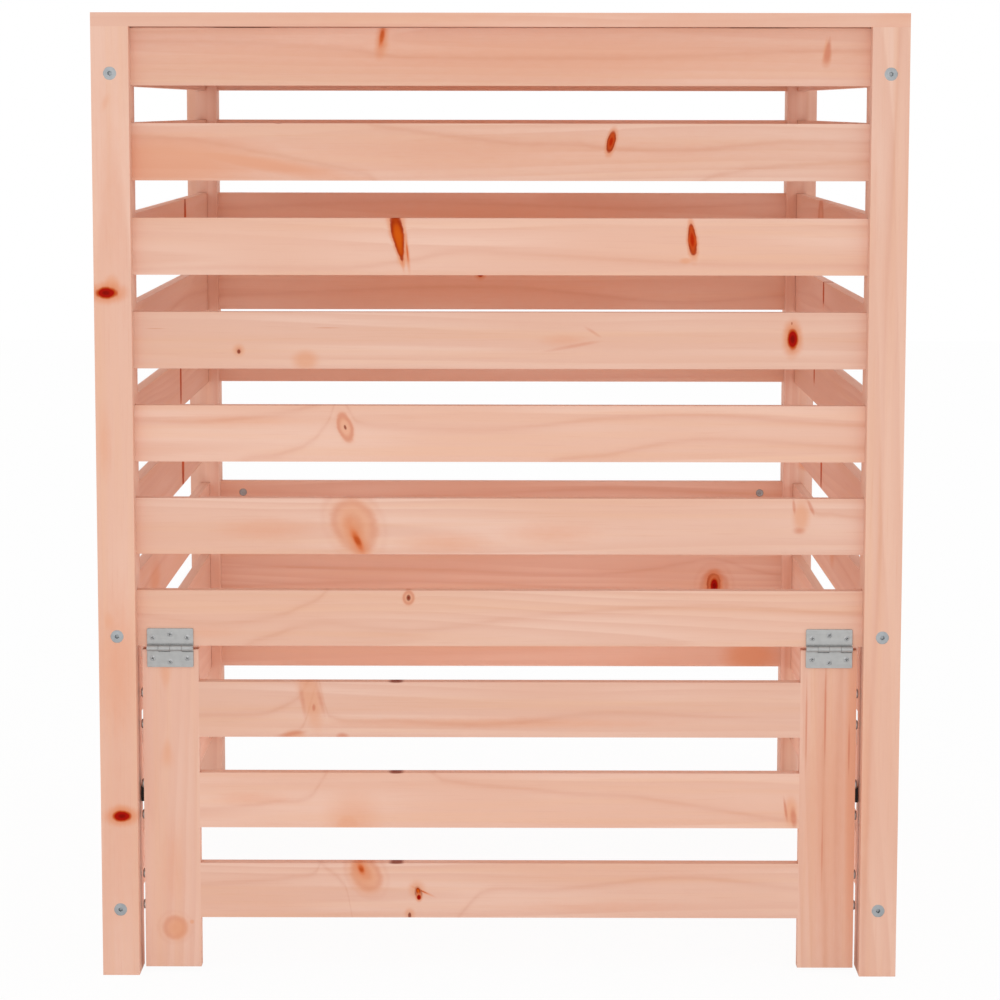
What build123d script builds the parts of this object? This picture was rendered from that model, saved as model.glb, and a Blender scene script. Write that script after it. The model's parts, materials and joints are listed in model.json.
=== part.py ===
from build123d import *
import os

os.makedirs("parts", exist_ok=True)

# Slatted wooden compost bin, in millimetres.
# The front faces -Y, left is -X, and the origin is on the ground under the middle of the bin.

# Frame of four posts with slats on every side
overall_width = 825
overall_depth = 825
post_side = 38
slat_width = 58
slat_thickness = 12
slat_gap = 38
row_count = 10
foot_height = 58
housing_depth = 10
housing_clearance = 0.25
housing_end_gap = 0.5

# Door in the lowest rows of the front
door_row_count = 3
door_side_gap = 5
door_top_gap = 4
door_foot_gap = 5
stile_width = 58

# Lid of boards, its rear board fixed and the others hinged to it
lid_gap = 1
lid_thickness = 14
lid_board_count = 8
lid_board_gap = 3
batten_inset = 150
batten_clearance = 5

# Countersunk connecting bolts and their barrel nuts
fastener_sides = 6
fastener_clearance = 0.1
bolt_radius = 3
bolt_head_radius = 6.7
bolt_socket_radius = 2.3
bolt_socket_depth = 2.5
bolt_from_bottom = 12
bolt_from_top = 15
bolt_overrun = 4
nut_radius = 5
nut_length = 10
nut_recess = 0.5
nut_setback = 30

# Butt hinges of door and lid, each with two equal leaves rolled round a pin
knuckle_sides = 12
hinge_width = 48
leaf_reach = 20.3
leaf_thickness = 1.5
leaf_relief = 0.5
knuckle_count = 4
knuckle_radius = 3
knuckle_gap = 0.3
pin_radius = 1.5
pin_clearance = 0.05
outer_screw_side_inset = 6.2
outer_screw_inset = 9.4
middle_screw_inset = 5.9
screw_radius = 1.5
screw_head_radius = 2.8
screw_length = 10

# Screws that hold the lid's rear board on the rear posts
board_screw_radius = 2.25
board_screw_head_radius = 4.5
board_screw_length = 40
board_screw_offset = 10.5

# Screws that hold the hinged boards on their battens, driven from below
batten_screw_radius = 1.75
batten_screw_head_radius = 3
batten_screw_length = 22

# Round-headed screws that hold the door slats, driven through the stiles from outside
door_screw_radius = 2
door_screw_head_radius = 5
door_screw_head_height = 2.5
door_screw_grip = 32
door_screw_spread = 33

# Magnetic catches behind the door
catch_drop = 26
catch_height = 16
catch_reach = 18
catch_gap = 0.3
catch_screw_radius = 1.75
catch_screw_head_radius = 3
catch_screw_length = 28
magnet_side = 10
magnet_depth = 4
magnet_inset = 2
strike_width = 24
strike_height = 14
strike_thickness = 1
strike_inset = 1
strike_screw_inset = 5

# Sizes that follow from the ones above
row_pitch = slat_width + slat_gap
rows = range(1, row_count + 1)
front_row_count = row_count - door_row_count
rail_names = {1: "top", front_row_count: "middle", row_count: "bottom"}
front_rows = range(1, front_row_count + 1)
door_rows = range(front_row_count + 1, row_count + 1)
post_height = foot_height + row_count * row_pitch - slat_gap + lid_gap
lid_top = post_height + lid_thickness
width_span = overall_width - 2 * post_side
depth_span = overall_depth - 2 * post_side
panel_x = (overall_width - post_side) / 2
panel_y = (overall_depth - post_side) / 2
bolt_length = post_side + nut_setback + bolt_overrun
knuckle_pitch = hinge_width / knuckle_count
knuckle_turn = 180 / knuckle_sides
lid_board_depth = (overall_depth - (lid_board_count - 1) * lid_board_gap) / lid_board_count


def row_bottom(row):
    return foot_height + (row_count - row) * row_pitch


def row_middle(row):
    return row_bottom(row) + slat_width / 2


# Lid boards are counted from the front
def board_middle(number):
    return (number - 1) * (lid_board_depth + lid_board_gap) + (lid_board_depth - overall_depth) / 2


def finish(piece, name):
    piece.part.label = name
    export_step(piece.part, f"parts/{name}.step")


# Each panel's plane stands in the middle of its slats, with x along them, y up and z outwards
panel_planes = {
    "front": Plane((0, -panel_y, 0), x_dir=(1, 0, 0), z_dir=(0, -1, 0)),
    "back": Plane((0, panel_y, 0), x_dir=(-1, 0, 0), z_dir=(0, 1, 0)),
    "left": Plane((-panel_x, 0, 0), x_dir=(0, -1, 0), z_dir=(-1, 0, 0)),
    "right": Plane((panel_x, 0, 0), x_dir=(0, 1, 0), z_dir=(1, 0, 0)),
}
panel_spans = {"front": width_span, "back": width_span, "left": depth_span, "right": depth_span}
panel_rows = {"front": front_rows, "back": rows, "left": rows, "right": rows}
bolt_rises = {
    "front": slat_width - bolt_from_top,
    "back": slat_width - bolt_from_top,
    "left": bolt_from_bottom,
    "right": bolt_from_bottom,
}


# The two bolts of a rail: z points out of the post and x out of the panel
def rail_bolt_places(side, row):
    panel = panel_planes[side]
    rise = row_bottom(row) + bolt_rises[side]
    reach = panel_spans[side] / 2 + post_side
    return [
        Plane(panel.from_local_coords((end * reach, rise, 0)), x_dir=panel.z_dir, z_dir=panel.x_dir * end)
        for end in (-1, 1)
    ]


bolt_places = [
    place
    for side in panel_planes
    for row in panel_rows[side]
    if row in rail_names
    for place in rail_bolt_places(side, row)
]


# A countersunk fastener along -Z with its head's face at the origin
def countersunk(head_radius, shank_radius, length):
    head_depth = head_radius - shank_radius
    with BuildPart() as fastener:
        with BuildSketch():
            RegularPolygon(head_radius, fastener_sides, major_radius=False)
        extrude(amount=-head_depth, taper=45)
        with BuildSketch(Plane.XY.offset(-head_depth)):
            RegularPolygon(shank_radius, fastener_sides, major_radius=False)
        extrude(amount=head_depth - length)
    return fastener.part


# The hole for the same fastener
def countersunk_hole(head_radius, shank_radius, length):
    return countersunk(
        head_radius + fastener_clearance, shank_radius + fastener_clearance, length + fastener_clearance
    )


# A barrel nut, or its pocket, lying across its bolt and open to the inner face of the rail
def barrel(radius, start, length):
    with BuildPart() as nut:
        with BuildSketch(Plane.YZ.offset(start - slat_thickness / 2)):
            with Locations((0, -post_side - nut_setback)):
                RegularPolygon(radius, fastener_sides, major_radius=False)
        extrude(amount=length)
    return nut.part


bolt_hole = countersunk_hole(bolt_head_radius, bolt_radius, bolt_length)
nut_pocket = barrel(nut_radius + fastener_clearance, 0, nut_recess + nut_length + fastener_clearance)
screw = countersunk(screw_head_radius, screw_radius, screw_length)
screw_hole = countersunk_hole(screw_head_radius, screw_radius, screw_length)
board_screw = countersunk(board_screw_head_radius, board_screw_radius, board_screw_length)
board_screw_hole = countersunk_hole(board_screw_head_radius, board_screw_radius, board_screw_length)
batten_screw = countersunk(batten_screw_head_radius, batten_screw_radius, batten_screw_length)
batten_screw_hole = countersunk_hole(batten_screw_head_radius, batten_screw_radius, batten_screw_length)
catch_screw = countersunk(catch_screw_head_radius, catch_screw_radius, catch_screw_length)
catch_screw_hole = countersunk_hole(catch_screw_head_radius, catch_screw_radius, catch_screw_length)

# A round-headed screw along -Z with its head on the origin
with BuildPart() as door_screw:
    with BuildSketch():
        RegularPolygon(door_screw_head_radius, fastener_sides, major_radius=False)
    extrude(amount=door_screw_head_height, taper=40)
    with BuildSketch():
        RegularPolygon(door_screw_radius, fastener_sides, major_radius=False)
    extrude(amount=-stile_width - door_screw_grip)

with BuildPart() as door_screw_hole:
    with BuildSketch():
        RegularPolygon(door_screw_radius + fastener_clearance, fastener_sides, major_radius=False)
    extrude(amount=-stile_width - door_screw_grip - fastener_clearance)

with BuildPart() as bolt:
    add(countersunk(bolt_head_radius, bolt_radius, bolt_length))
    with BuildSketch():
        RegularPolygon(bolt_socket_radius, 6)
    extrude(amount=-bolt_socket_depth, mode=Mode.SUBTRACT)

with BuildPart() as barrel_nut:
    add(barrel(nut_radius, nut_recess, nut_length))
    add(bolt_hole, mode=Mode.SUBTRACT)


# Where hinges, catches and screws go
front_face = -panel_y - slat_thickness / 2
door_back = -panel_y + slat_thickness / 2
door_reach = width_span / 2 - door_side_gap
stile_x = door_reach - stile_width / 2
door_top = row_bottom(front_row_count) - door_top_gap
door_hinge_rise = (row_bottom(front_row_count) + door_top) / 2
flap_back = overall_depth / 2 - lid_board_depth - lid_board_gap
lid_hinge_y = flap_back + lid_board_gap / 2
batten_x = overall_width / 2 - batten_inset

# Hinge planes lie on the mounting face below the pin, with y towards the fixed leaf
door_hinge_planes = [
    Plane((end * stile_x, front_face, door_hinge_rise), x_dir=(1, 0, 0), z_dir=(0, -1, 0)) for end in (-1, 1)
]
lid_hinge_planes = [Plane((end * batten_x, lid_hinge_y, lid_top)) for end in (-1, 1)]
outer_screw_x = hinge_width / 2 - outer_screw_side_inset
hinge_screw_points = [
    (-outer_screw_x, leaf_reach - outer_screw_inset),
    (0, leaf_reach - middle_screw_inset),
    (outer_screw_x, leaf_reach - outer_screw_inset),
]


# The screws of one leaf of each hinge: 1 is the fixed leaf and -1 the swinging one
def leaf_screw_places(hinge_planes, leaf_side):
    return [
        Plane(
            hinge.from_local_coords((x, leaf_side * y, leaf_thickness)),
            x_dir=hinge.x_dir,
            z_dir=hinge.z_dir,
        )
        for hinge in hinge_planes
        for x, y in hinge_screw_points
    ]


# Two screws at each end of a door slat, with z out of the stile
door_screw_places = [
    Plane((end * door_reach, -panel_y, row_middle(row) + step), x_dir=(0, 1, 0), z_dir=(end, 0, 0))
    for end in (-1, 1)
    for row in door_rows
    for step in (-door_screw_spread / 2, door_screw_spread / 2)
]

board_screw_places = [
    Location((end * (panel_x + step), panel_y - step, lid_top))
    for end in (-1, 1)
    for step in (-board_screw_offset, board_screw_offset)
]

batten_screw_places = [
    Plane((end * batten_x, board_middle(number), post_height - slat_thickness), z_dir=(0, 0, -1))
    for end in (-1, 1)
    for number in range(1, lid_board_count)
]

# Catch planes lie on the inner face of a front post, with z across the opening
catch_rise = row_bottom(front_row_count + 2) + slat_width - catch_drop
catch_front = door_back + strike_thickness + catch_gap
catch_back = -overall_depth / 2 + post_side
catch_depth = catch_back - catch_front
catch_middle = (catch_front + catch_back) / 2
catch_planes = [
    Plane((end * width_span / 2, catch_middle, catch_rise), x_dir=(0, 1, 0), z_dir=(-end, 0, 0))
    for end in (-1, 1)
]
catch_screw_places = [
    Plane(
        (end * (width_span / 2 - catch_reach), catch_middle + magnet_depth / 2, catch_rise),
        x_dir=(0, 1, 0),
        z_dir=(-end, 0, 0),
    )
    for end in (-1, 1)
]
magnet_x = width_span / 2 - catch_reach + magnet_inset + magnet_side / 2
strike_x = door_reach - strike_inset - strike_width / 2
strike_screw_x = strike_x - strike_width / 2 + strike_screw_inset
strike_plane = Plane((0, door_back, catch_rise), x_dir=(-1, 0, 0), z_dir=(0, 1, 0))
strike_screw_places = [
    Plane((end * strike_screw_x, door_back + strike_thickness, catch_rise), x_dir=(-1, 0, 0), z_dir=(0, 1, 0))
    for end in (-1, 1)
]


# Posts, with a housing for the end of every slat
def build_post(name, end_x, end_y):
    with BuildPart() as post:
        with BuildSketch():
            with Locations((end_x * panel_x, end_y * panel_y)):
                Rectangle(post_side, post_side)
        extrude(amount=post_height)
        for side in ("left" if end_x < 0 else "right", "front" if end_y < 0 else "back"):
            with BuildSketch(panel_planes[side].offset(-slat_thickness / 2 - housing_clearance)):
                for row in panel_rows[side]:
                    housing_bottom = row_bottom(row) - housing_clearance
                    housing_top = row_bottom(row) + slat_width + housing_clearance
                    if row == 1:
                        housing_top = post_height
                    with Locations((0, (housing_bottom + housing_top) / 2)):
                        Rectangle(panel_spans[side] + 2 * housing_depth, housing_top - housing_bottom)
            extrude(amount=slat_thickness + 2 * housing_clearance, mode=Mode.SUBTRACT)
        with Locations(*bolt_places):
            add(bolt_hole, mode=Mode.SUBTRACT)
        if end_y < 0:
            with Locations(*catch_screw_places):
                add(catch_screw_hole, mode=Mode.SUBTRACT)
        else:
            with Locations(*board_screw_places):
                add(board_screw_hole, mode=Mode.SUBTRACT)
    finish(post, name)


for end_x, left_or_right in ((-1, "left"), (1, "right")):
    build_post(f"front_{left_or_right}_post", end_x, -1)
    build_post(f"back_{left_or_right}_post", end_x, 1)


# Slats of one panel, given by their rows, as separate solids in one piece
def draw_slats(side, slat_rows):
    slat_length = panel_spans[side] + 2 * (housing_depth - housing_end_gap)
    with BuildPart() as slats:
        with BuildSketch(panel_planes[side].offset(-slat_thickness / 2)):
            with Locations(*[(0, row_middle(row)) for row in slat_rows]):
                Rectangle(slat_length, slat_width)
        extrude(amount=slat_thickness)
    return slats


for side in panel_planes:
    plain_rows = [row for row in panel_rows[side] if row not in rail_names]
    if side == "front":
        for row in plain_rows:
            finish(draw_slats(side, [row]), f"front_slat_{row}")
    else:
        finish(draw_slats(side, plain_rows), f"{side}_slats")

# Rails, which are the slats that the bolts pull against the posts
for side in panel_planes:
    for row in panel_rows[side]:
        if row in rail_names:
            with BuildPart() as rail:
                add(draw_slats(side, [row]).part)
                with Locations(*rail_bolt_places(side, row)):
                    add(bolt_hole, mode=Mode.SUBTRACT)
                    add(nut_pocket, mode=Mode.SUBTRACT)
                if side == "front" and row == front_row_count:
                    with Locations(*leaf_screw_places(door_hinge_planes, 1)):
                        add(screw_hole, mode=Mode.SUBTRACT)
            finish(rail, f"{side}_{rail_names[row]}_rail")

with BuildPart() as panel_bolts:
    with Locations(*bolt_places):
        add(bolt.part)
finish(panel_bolts, "panel_bolts")

with BuildPart() as barrel_nuts:
    with Locations(*bolt_places):
        add(barrel_nut.part)
finish(barrel_nuts, "barrel_nuts")

# Door slats, screwed between the stiles
for row, name in zip(door_rows, ("top", "middle", "bottom")):
    with BuildPart() as door_slat:
        with BuildSketch(panel_planes["front"].offset(-slat_thickness / 2)):
            with Locations((0, row_middle(row))):
                Rectangle(2 * (door_reach - stile_width), slat_width)
        extrude(amount=slat_thickness)
        with Locations(*door_screw_places):
            add(door_screw_hole.part, mode=Mode.SUBTRACT)
    finish(door_slat, f"door_{name}_slat")

# Door stiles, which carry the hinges and the strikes
for end, left_or_right in ((-1, "left"), (1, "right")):
    with BuildPart() as stile:
        with BuildSketch(panel_planes["front"].offset(-slat_thickness / 2)):
            with Locations((end * stile_x, (door_foot_gap + door_top) / 2)):
                Rectangle(stile_width, door_top - door_foot_gap)
        extrude(amount=slat_thickness)
        with Locations(*door_screw_places):
            add(door_screw_hole.part, mode=Mode.SUBTRACT)
        with Locations(*leaf_screw_places(door_hinge_planes, -1), *strike_screw_places):
            add(screw_hole, mode=Mode.SUBTRACT)
    finish(stile, f"door_{left_or_right}_stile")

with BuildPart() as door_slat_screws:
    with Locations(*door_screw_places):
        add(door_screw.part)
finish(door_slat_screws, "door_slat_screws")

# Lid boards run across the bin, the last one fixed on the rear posts
for number in range(1, lid_board_count + 1):
    fixed = number == lid_board_count
    with BuildPart() as lid_board:
        with BuildSketch(Plane.XY.offset(post_height)):
            with Locations((0, board_middle(number))):
                Rectangle(overall_width, lid_board_depth)
        extrude(amount=lid_thickness)
        if fixed:
            with Locations(*board_screw_places):
                add(board_screw_hole, mode=Mode.SUBTRACT)
        else:
            with Locations(*batten_screw_places):
                add(batten_screw_hole, mode=Mode.SUBTRACT)
        if number >= lid_board_count - 1:
            with Locations(*leaf_screw_places(lid_hinge_planes, 1 if fixed else -1)):
                add(screw_hole, mode=Mode.SUBTRACT)
    finish(lid_board, "lid_back_board" if fixed else f"lid_board_{number}")

# Battens join the hinged boards from below
batten_front = -panel_y + slat_thickness / 2 + batten_clearance
batten_back = flap_back - batten_clearance
for end, left_or_right in ((-1, "left"), (1, "right")):
    with BuildPart() as batten:
        with BuildSketch(Plane.XY.offset(post_height)):
            with Locations((end * batten_x, (batten_front + batten_back) / 2)):
                Rectangle(slat_width, batten_back - batten_front)
        extrude(amount=-slat_thickness)
        with Locations(*batten_screw_places):
            add(batten_screw_hole, mode=Mode.SUBTRACT)
    finish(batten, f"lid_{left_or_right}_batten")

with BuildPart() as back_board_screws:
    with Locations(*board_screw_places):
        add(board_screw)
finish(back_board_screws, "back_board_screws")

with BuildPart() as batten_screws:
    with Locations(*batten_screw_places):
        add(batten_screw)
finish(batten_screws, "batten_screws")

# One hinge leaf on its mounting face, with every second knuckle left to the other leaf
with BuildPart() as leaf:
    with BuildSketch():
        with Locations((0, leaf_reach / 2)):
            Rectangle(hinge_width, leaf_reach)
    extrude(amount=leaf_thickness)
    for number in range(knuckle_count):
        slot_start = -hinge_width / 2 + number * knuckle_pitch
        if number % 2 == 0:
            with BuildSketch():
                with Locations((slot_start + knuckle_pitch / 2, 0)):
                    Rectangle(knuckle_pitch, 2 * (knuckle_radius + leaf_relief))
            extrude(amount=leaf_thickness, mode=Mode.SUBTRACT)
        else:
            with BuildSketch(Plane.YZ.offset(slot_start + knuckle_gap / 2)):
                with Locations((0, knuckle_radius)):
                    RegularPolygon(knuckle_radius, knuckle_sides, False, knuckle_turn)
            extrude(amount=knuckle_pitch - knuckle_gap)
    with BuildSketch(Plane.YZ):
        with Locations((0, knuckle_radius)):
            RegularPolygon(pin_radius + pin_clearance, knuckle_sides, False, knuckle_turn)
    extrude(amount=hinge_width, both=True, mode=Mode.SUBTRACT)
    with Locations(*leaf_screw_places([Plane.XY], 1)):
        add(screw_hole, mode=Mode.SUBTRACT)

with BuildPart() as swing_leaf:
    add(leaf.part, rotation=(0, 0, 180))

with BuildPart() as hinge_pin:
    with BuildSketch(Plane.YZ):
        with Locations((0, knuckle_radius)):
            RegularPolygon(pin_radius, knuckle_sides, rotation=knuckle_turn)
    extrude(amount=(hinge_width - knuckle_gap) / 2, both=True)

for owner, hinge_planes in (("door", door_hinge_planes), ("lid", lid_hinge_planes)):
    for name, piece in (("fixed_leaves", leaf), ("swing_leaves", swing_leaf), ("pins", hinge_pin)):
        with BuildPart() as hinge_pieces:
            with Locations(*hinge_planes):
                add(piece.part)
        finish(hinge_pieces, f"{owner}_hinge_{name}")

# Hinge screws, grouped by what they move with
hinge_screw_groups = {
    "frame_hinge_screws": leaf_screw_places(door_hinge_planes, 1) + leaf_screw_places(lid_hinge_planes, 1),
    "door_hinge_screws": leaf_screw_places(door_hinge_planes, -1),
    "lid_hinge_screws": leaf_screw_places(lid_hinge_planes, -1),
    "strike_screws": strike_screw_places,
}
for name, places in hinge_screw_groups.items():
    with BuildPart() as screws:
        with Locations(*places):
            add(screw)
    finish(screws, name)

# Magnetic catches on the front posts, and their strikes on the door
with BuildPart() as catch_bodies:
    for plane in catch_planes:
        with BuildSketch(plane):
            Rectangle(catch_depth, catch_height)
        extrude(amount=catch_reach)
    with BuildSketch(Plane((0, catch_front, catch_rise), x_dir=(1, 0, 0), z_dir=(0, -1, 0))):
        with Locations((-magnet_x, 0), (magnet_x, 0)):
            Rectangle(magnet_side + 2 * fastener_clearance, magnet_side + 2 * fastener_clearance)
    extrude(amount=-magnet_depth - fastener_clearance, mode=Mode.SUBTRACT)
    with Locations(*catch_screw_places):
        add(catch_screw_hole, mode=Mode.SUBTRACT)
finish(catch_bodies, "catch_bodies")

with BuildPart() as catch_magnets:
    with BuildSketch(Plane((0, catch_front, catch_rise), x_dir=(1, 0, 0), z_dir=(0, -1, 0))):
        with Locations((-magnet_x, 0), (magnet_x, 0)):
            Rectangle(magnet_side, magnet_side)
    extrude(amount=-magnet_depth)
finish(catch_magnets, "catch_magnets")

with BuildPart() as catch_screws:
    with Locations(*catch_screw_places):
        add(catch_screw)
finish(catch_screws, "catch_screws")

with BuildPart() as catch_strikes:
    with BuildSketch(strike_plane):
        with Locations((-strike_x, 0), (strike_x, 0)):
            Rectangle(strike_width, strike_height)
    extrude(amount=strike_thickness)
    with Locations(*strike_screw_places):
        add(screw_hole, mode=Mode.SUBTRACT)
finish(catch_strikes, "catch_strikes")
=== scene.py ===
import bmesh
import bpy
import json
import math
from mathutils import Matrix, Vector


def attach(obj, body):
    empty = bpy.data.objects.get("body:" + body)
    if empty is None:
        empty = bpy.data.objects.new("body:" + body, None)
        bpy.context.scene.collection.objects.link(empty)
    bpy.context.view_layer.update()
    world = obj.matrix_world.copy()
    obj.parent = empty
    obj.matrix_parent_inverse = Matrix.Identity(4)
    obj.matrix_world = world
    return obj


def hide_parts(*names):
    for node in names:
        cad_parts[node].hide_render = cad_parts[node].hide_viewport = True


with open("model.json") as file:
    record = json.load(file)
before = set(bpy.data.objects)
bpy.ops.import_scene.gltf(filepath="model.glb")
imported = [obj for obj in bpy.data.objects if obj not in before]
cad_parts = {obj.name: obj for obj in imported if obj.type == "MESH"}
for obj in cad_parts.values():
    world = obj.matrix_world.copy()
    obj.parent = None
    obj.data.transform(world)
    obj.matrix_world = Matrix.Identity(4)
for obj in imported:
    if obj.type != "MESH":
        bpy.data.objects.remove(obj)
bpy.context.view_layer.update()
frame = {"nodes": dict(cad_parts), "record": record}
nodes = frame["nodes"]
mm = 0.001
print("frame loaded:", len(nodes), "nodes")


# a shader socket that works in Python sums
class Wire:
    def __init__(self, graph, socket):
        self.graph, self.socket = graph, socket

    def maths(self, operation, *others):
        return self.graph.add("ShaderNodeMath", {"operation": operation}, dict(enumerate((self, *others))))

    def __add__(self, other):
        return self.maths("ADD", other)

    def __sub__(self, other):
        return self.maths("SUBTRACT", other)

    def __mul__(self, other):
        return self.maths("MULTIPLY", other)

    def __truediv__(self, other):
        return self.maths("DIVIDE", other)

    def __rsub__(self, other):
        return self.maths("MULTIPLY_ADD", -1.0, other)

    def __rtruediv__(self, other):
        return self.graph.add("ShaderNodeMath", {"operation": "DIVIDE"}, {0: other, 1: self})

    def __gt__(self, other):
        return self.maths("GREATER_THAN", other)

    def __abs__(self):
        return self.maths("ABSOLUTE")

    __radd__, __rmul__ = __add__, __mul__

    def least(self, other):
        return self.maths("MINIMUM", other)

    def most(self, other):
        return self.maths("MAXIMUM", other)

    def floor(self):
        return self.maths("FLOOR")

    def fract(self):
        return self.maths("FRACT")

    def sine(self):
        return self.maths("SINE")

    def root(self):
        return self.maths("SQRT")

    # smooth step from 0 at low to 1 at high; low may be the larger one
    def rise(self, low, high):
        start, end, flip = (low, high, 0.0) if low < high else (high, low, 1.0)
        return self.graph.add("ShaderNodeMapRange", {"interpolation_type": "SMOOTHSTEP"},
                              {0: self, 1: start, 2: end, 3: flip, 4: 1.0 - flip})


# the nodes of one material or of the world
class Graph:
    def __init__(self, owner):
        owner.use_nodes = True
        self.owner, self.tree = owner, owner.node_tree
        self.tree.nodes.clear()

    def plug(self, socket, value):
        if isinstance(value, Wire):
            self.tree.links.new(value.socket, socket)
        elif isinstance(value, tuple) and socket.type == "RGBA":
            socket.default_value = (*value, 1.0)
        else:
            socket.default_value = value

    def add(self, kind, settings, sockets, out=0):
        node = self.tree.nodes.new(kind)
        for key, value in settings.items():
            if key == "stops":
                node.color_ramp.interpolation = "CARDINAL"
                for i, (at, grey) in enumerate(value):
                    stop = node.color_ramp.elements[i] if i < 2 else node.color_ramp.elements.new(at)
                    stop.position, stop.color = at, (grey, grey, grey, 1.0)
            else:
                setattr(node, key, value)
        for key, value in sockets.items():
            self.plug(node.inputs[key], value)
        return Wire(self, node.outputs[out]) if node.outputs else None

    def surface(self, **sockets):
        named = {key.replace("_", " "): value for key, value in sockets.items()}
        shader = self.add("ShaderNodeBsdfPrincipled", {}, named)
        self.add("ShaderNodeOutputMaterial", {}, {0: shader})
        return self.owner

    def place(self):
        return self.add("ShaderNodeTexCoord", {}, {}, "Object")

    def facing(self):
        return self.parts(self.add("ShaderNodeTexCoord", {}, {}, "Normal"))

    def join(self, x, y, z):
        return self.add("ShaderNodeCombineXYZ", {}, {0: x, 1: y, 2: z})

    def parts(self, vector):
        return [self.add("ShaderNodeSeparateXYZ", {}, {0: vector}, i) for i in range(3)]

    def scaled(self, vector, factors):
        return self.add("ShaderNodeVectorMath", {"operation": "MULTIPLY"}, {0: vector, 1: factors})

    def noise(self, vector, scale=1.0, detail=2.0, roughness=0.5):
        return self.add("ShaderNodeTexNoise", {}, {
            "Vector": vector, "Scale": scale, "Detail": detail, "Roughness": roughness})

    def dice(self, number):
        thrown = self.add("ShaderNodeTexWhiteNoise", {"noise_dimensions": "1D"}, {"W": number}, "Color")
        return self.parts(thrown)

    # the Mix node's colour sockets are 6 and 7, and its colour output is 2
    def blend(self, factor, a, b, how="MIX"):
        return self.add("ShaderNodeMix", {"data_type": "RGBA", "blend_type": how}, {0: factor, 6: a, 7: b}, 2)

    def bump(self, height, strength, distance):
        return self.add("ShaderNodeBump", {}, {"Height": height, "Strength": strength, "Distance": distance})

    # 1 for rays that should meet plain white
    def whiteRays(self):
        camera, glossy, through = (self.add("ShaderNodeLightPath", {}, {}, f"Is {ray} Ray")
                                   for ray in ("Camera", "Glossy", "Transmission"))
        return camera.most(glossy).most(through)


# a colour as a paint program shows it, 0 to 255
def tint(red, green, blue):
    def linear(v):
        v /= 255
        return v / 12.92 if v <= 0.04045 else ((v + 0.055) / 1.055) ** 2.4
    return tuple(linear(v) for v in (red, green, blue))


# planed softwood: every board is cut from a trunk of its own
woodLook = {
    "pale": tint(240, 200, 182), "rosy": tint(234, 187, 166), "warm": tint(237, 189, 160),
    "lateWood": tint(216, 150, 122), "endWood": tint(216, 154, 126), "line": tint(206, 130, 100),
    "halo": tint(230, 160, 122), "blush": tint(230, 160, 126), "glow": tint(226, 140, 96),
    "rim": tint(212, 130, 102), "pip": tint(132, 46, 26), "ember": tint(222, 116, 62),
    "amber": tint(210, 90, 12), "rust": tint(188, 68, 12), "bark": tint(150, 36, 6),
    "garnet": tint(184, 42, 2), "flame": tint(214, 94, 40),
    "redRim": tint(196, 84, 34), "red": tint(170, 18, 5), "redHeart": tint(126, 10, 4),
    "rosyRange": (0.34, 0.68), "warmRange": (0.42, 0.78), "warmShare": 0.5, "warmBoard": 0.2,
    "endRange": (0.6, 0.9), "endShare": 0.55, "fibreRange": (0.52, 0.8), "fibreShare": 0.16,
    "shadeBoard": 0.05, "shadeSway": 0.05, "rough": 0.6, "roughFibre": 0.16, "roughRing": 0.05,
    "gloss": 0.04, "bump": (0.3, 0.0003),
}

# noises as scales along, across and into a board, and how far they shift from board to board
noiseLook = {
    "sway": {"scale": (2.1, 14, 14), "shift": (40, 0, 30), "detail": 1.0, "roughness": 0.5},
    "patch": {"scale": (3.1, 13, 13), "shift": (30, 9, 0), "detail": 1.0, "roughness": 0.5},
    "streak": {"scale": (2.6, 105, 105), "shift": (60, 20, 0), "detail": 2.0, "roughness": 0.5},
    "fibre": {"scale": (16, 640, 640), "shift": (0, 0, 90), "detail": 2.0, "roughness": 0.6},
    "wisp": {"scale": (70, 190, 190), "shift": (0, 20, 0), "detail": 2.0, "roughness": 0.5},
}

# year rings, counted from the heart of the trunk in metres; they bend a little round knots
ringLook = {
    "width": 0.0066, "share": 0.24, "offAcross": 0.06, "offDeep": 0.03, "moreDeep": 0.05,
    "leanAcross": 0.04, "leanDeep": 0.05, "wander": 0.03, "ripple": 0.006,
    "bend": 0.0012, "bendRange": (2.6, 0.8), "bentBy": ("amber", "flame", "red", "eye"),
    "lateRange": (0.1, 0.86), "edgeRange": (1.0, 0.88),
    "calmRange": (0.64, 0.38), "calmShare": 0.7, "leastShare": 0.3,
}

# single grain lines: a fine streaky one inside a wide faint one, in metres; a ramp's greys span rampReach
lineLook = {
    "width": 0.0036, "streaks": (0.25, 0.6, 0.11), "share": 0.02,
    "wide": 0.008, "wideShare": 0.1, "wander": 0.0016, "rampReach": 2.0,
}


# one coat of a mark: where it starts and where it is full, with 1 on the mark's rim
def coat(colour, start, full, share=1.0, **more):
    return {"colour": colour, "range": (start, full), "share": share, **more}


def resin(heart, edge):
    return [coat("glow", 1.8, 0.95, 0.7), coat(heart, 1.16, 0.82, edge=(edge, 0.2, 0.85, 0.85)),
            coat("bark", 1.14, 0.95, 0.2, hollow=(0.5, 0.9), streaks=(0.3, 0.6, 0.5))]


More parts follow.
